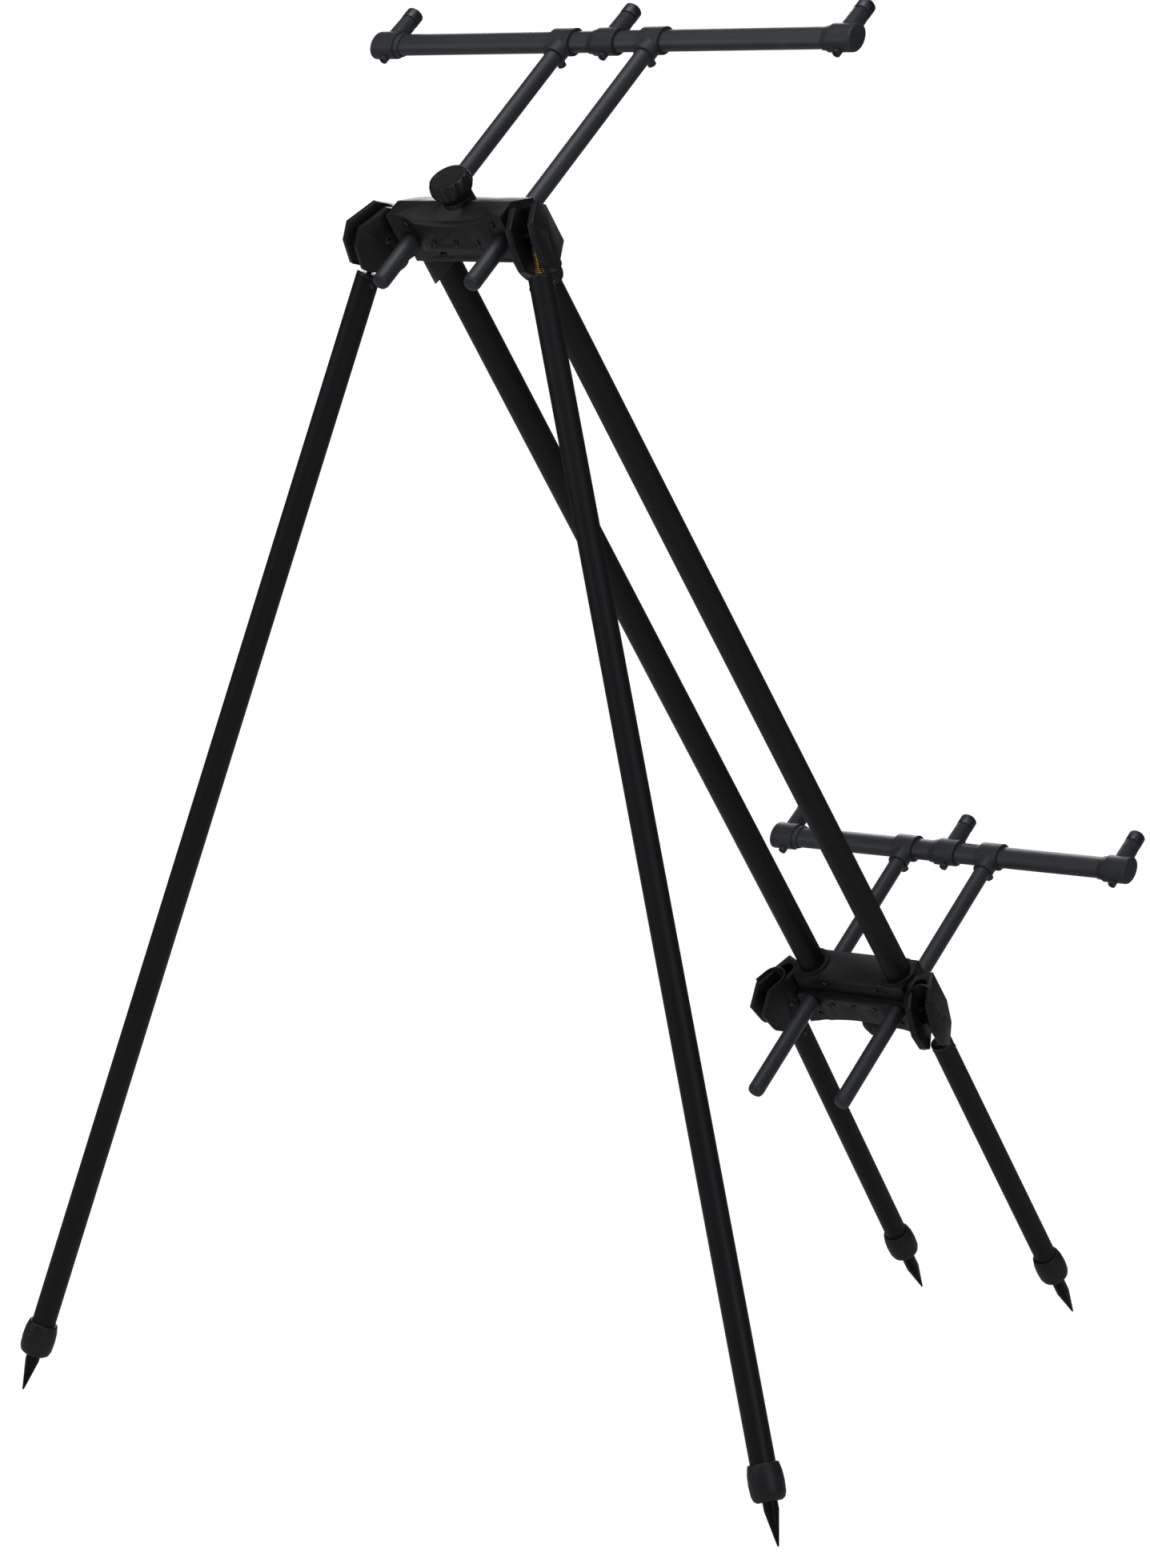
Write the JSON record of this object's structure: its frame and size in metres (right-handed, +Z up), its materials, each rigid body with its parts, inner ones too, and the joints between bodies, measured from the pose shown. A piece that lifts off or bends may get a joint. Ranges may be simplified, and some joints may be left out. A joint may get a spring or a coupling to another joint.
{
  "type": "rod pod",
  "caption": "Fishing rod pod with two moulded clamp heads on sloping main bars, sprung folding legs with ground spikes, and height-adjustable cross bars with threaded rod-rest sockets.",
  "frame": {"origin": "on the ground under the middle of the bounding box, level with the four spike tips", "axes": "+X along the cross bars, +Y from the tall front end to the low rear end, +Z up"},
  "size_m": [0.8634, 1, 1.2884],
  "materials": {
    "black_tube": "satin black anodised",
    "grey_black_tube": "satin black anodised, catching the light",
    "fitting_plastic": "fine-grained moulded",
    "spring_brass": "bright wound wire",
    "dark_steel": "blackened",
    "insert_metal": "knurled, anodised",
    "foot_plastic": "moulded",
    "knob_plastic": "moulded",
    "plug_plastic": "moulded",
    "head_plastic": "fine-grained moulded"
  },
  "bodies": {
    "frame": {"front_head_body": "head_plastic", "rear_head_body": "head_plastic", "front_head_cover": "head_plastic", "rear_head_cover": "head_plastic", "front_clamp_yoke": "head_plastic", "rear_clamp_yoke": "head_plastic", "head_screws": "dark_steel", "hinge_pins": "dark_steel", "main_bar_left": "black_tube", "main_bar_right": "black_tube", "bar_sleeves": "head_plastic"},
    "front_knob": {"front_clamp_knob": "knob_plastic", "front_clamp_bolt": "dark_steel"},
    "rear_knob": {"rear_clamp_knob": "knob_plastic", "rear_clamp_bolt": "dark_steel"},
    "front_bar": {"front_bar_tube": "grey_black_tube", "front_stem_left": "grey_black_tube", "front_stem_right": "grey_black_tube", "front_stem_tees": "fitting_plastic", "front_stem_plugs": "fitting_plastic", "front_socket_left": "fitting_plastic", "front_socket_middle": "fitting_plastic", "front_socket_right": "fitting_plastic", "front_rest_inserts": "insert_metal", "front_grub_screws": "dark_steel"},
    "rear_bar": {"rear_bar_tube": "grey_black_tube", "rear_stem_left": "grey_black_tube", "rear_stem_right": "grey_black_tube", "rear_stem_tees": "fitting_plastic", "rear_stem_plugs": "fitting_plastic", "rear_socket_left": "fitting_plastic", "rear_socket_middle": "fitting_plastic", "rear_socket_right": "fitting_plastic", "rear_rest_inserts": "insert_metal", "rear_grub_screws": "dark_steel"},
    "front_left_hanger": {"front_left_leg_rod": "dark_steel", "front_left_leg_spring": "spring_brass"},
    "front_left_leg": {"front_left_leg_plug": "plug_plastic", "front_left_leg_tube": "black_tube", "front_left_foot_cap": "foot_plastic", "front_left_spike": "dark_steel"},
    "front_right_hanger": {"front_right_leg_rod": "dark_steel", "front_right_leg_spring": "spring_brass"},
    "front_right_leg": {"front_right_leg_plug": "plug_plastic", "front_right_leg_tube": "black_tube", "front_right_foot_cap": "foot_plastic", "front_right_spike": "dark_steel"},
    "rear_left_hanger": {"rear_left_leg_rod": "dark_steel", "rear_left_leg_spring": "spring_brass"},
    "rear_left_leg": {"rear_left_leg_plug": "plug_plastic", "rear_left_leg_tube": "black_tube", "rear_left_foot_cap": "foot_plastic", "rear_left_spike": "dark_steel"},
    "rear_right_hanger": {"rear_right_leg_rod": "dark_steel", "rear_right_leg_spring": "spring_brass"},
    "rear_right_leg": {"rear_right_leg_plug": "plug_plastic", "rear_right_leg_tube": "black_tube", "rear_right_foot_cap": "foot_plastic", "rear_right_spike": "dark_steel"}
  },
  "joints": [
    {"name": "front_bar_slide", "type": "slide", "parent": "frame", "child": "front_bar", "axis": [0, 0.7559, 0.6547], "range_m": [-0.195, 0.05]},
    {"name": "front_knob_turn", "type": "hinge", "parent": "frame", "child": "front_knob", "pos_m": [0, -0.40998, 1.10753], "axis": [0, -0.6547, 0.7559], "range_deg": [0, 720]},
    {"name": "rear_bar_slide", "type": "slide", "parent": "frame", "child": "rear_bar", "axis": [0, 0.7559, 0.6547], "range_m": [-0.125, 0.11]},
    {"name": "rear_knob_turn", "type": "hinge", "parent": "frame", "child": "rear_knob", "pos_m": [0, 0.26761, 0.3253], "axis": [0, 0.6547, -0.7559], "range_deg": [0, 720]},
    {"name": "front_left_leg_swing", "type": "hinge", "parent": "frame", "child": "front_left_hanger", "pos_m": [-0.086, -0.41077, 1.07178], "axis": [0.9107, -0.3122, -0.2705], "range_deg": [0, 42]},
    {"name": "front_left_leg_pull", "type": "slide", "parent": "front_left_hanger", "child": "front_left_leg", "axis": [-0.3055, -0.0685, -0.9497], "range_m": [0, 0.008], "stiffness_N_per_m": 3000, "springref_m": -0.012},
    {"name": "front_right_leg_swing", "type": "hinge", "parent": "frame", "child": "front_right_hanger", "pos_m": [0.086, -0.41077, 1.07178], "axis": [0.9107, 0.3122, 0.2705], "range_deg": [0, 42]},
    {"name": "front_right_leg_pull", "type": "slide", "parent": "front_right_hanger", "child": "front_right_leg", "axis": [0.3055, -0.0685, -0.9497], "range_m": [0, 0.008], "stiffness_N_per_m": 3000, "springref_m": -0.012},
    {"name": "rear_left_leg_swing", "type": "hinge", "parent": "frame", "child": "rear_left_hanger", "pos_m": [-0.086, 0.23212, 0.32962], "axis": [-0.9107, 0.3122, 0.2705], "range_deg": [0, 176]},
    {"name": "rear_left_leg_pull", "type": "slide", "parent": "rear_left_hanger", "child": "rear_left_leg", "axis": [-0.0144, 0.6303, -0.7762], "range_m": [0, 0.008], "stiffness_N_per_m": 3000, "springref_m": -0.012},
    {"name": "rear_right_leg_swing", "type": "hinge", "parent": "frame", "child": "rear_right_hanger", "pos_m": [0.086, 0.23212, 0.32962], "axis": [-0.9107, -0.3122, -0.2705], "range_deg": [0, 176]},
    {"name": "rear_right_leg_pull", "type": "slide", "parent": "rear_right_hanger", "child": "rear_right_leg", "axis": [0.0144, 0.6303, -0.7762], "range_m": [0, 0.008], "stiffness_N_per_m": 3000, "springref_m": -0.012}
  ]
}
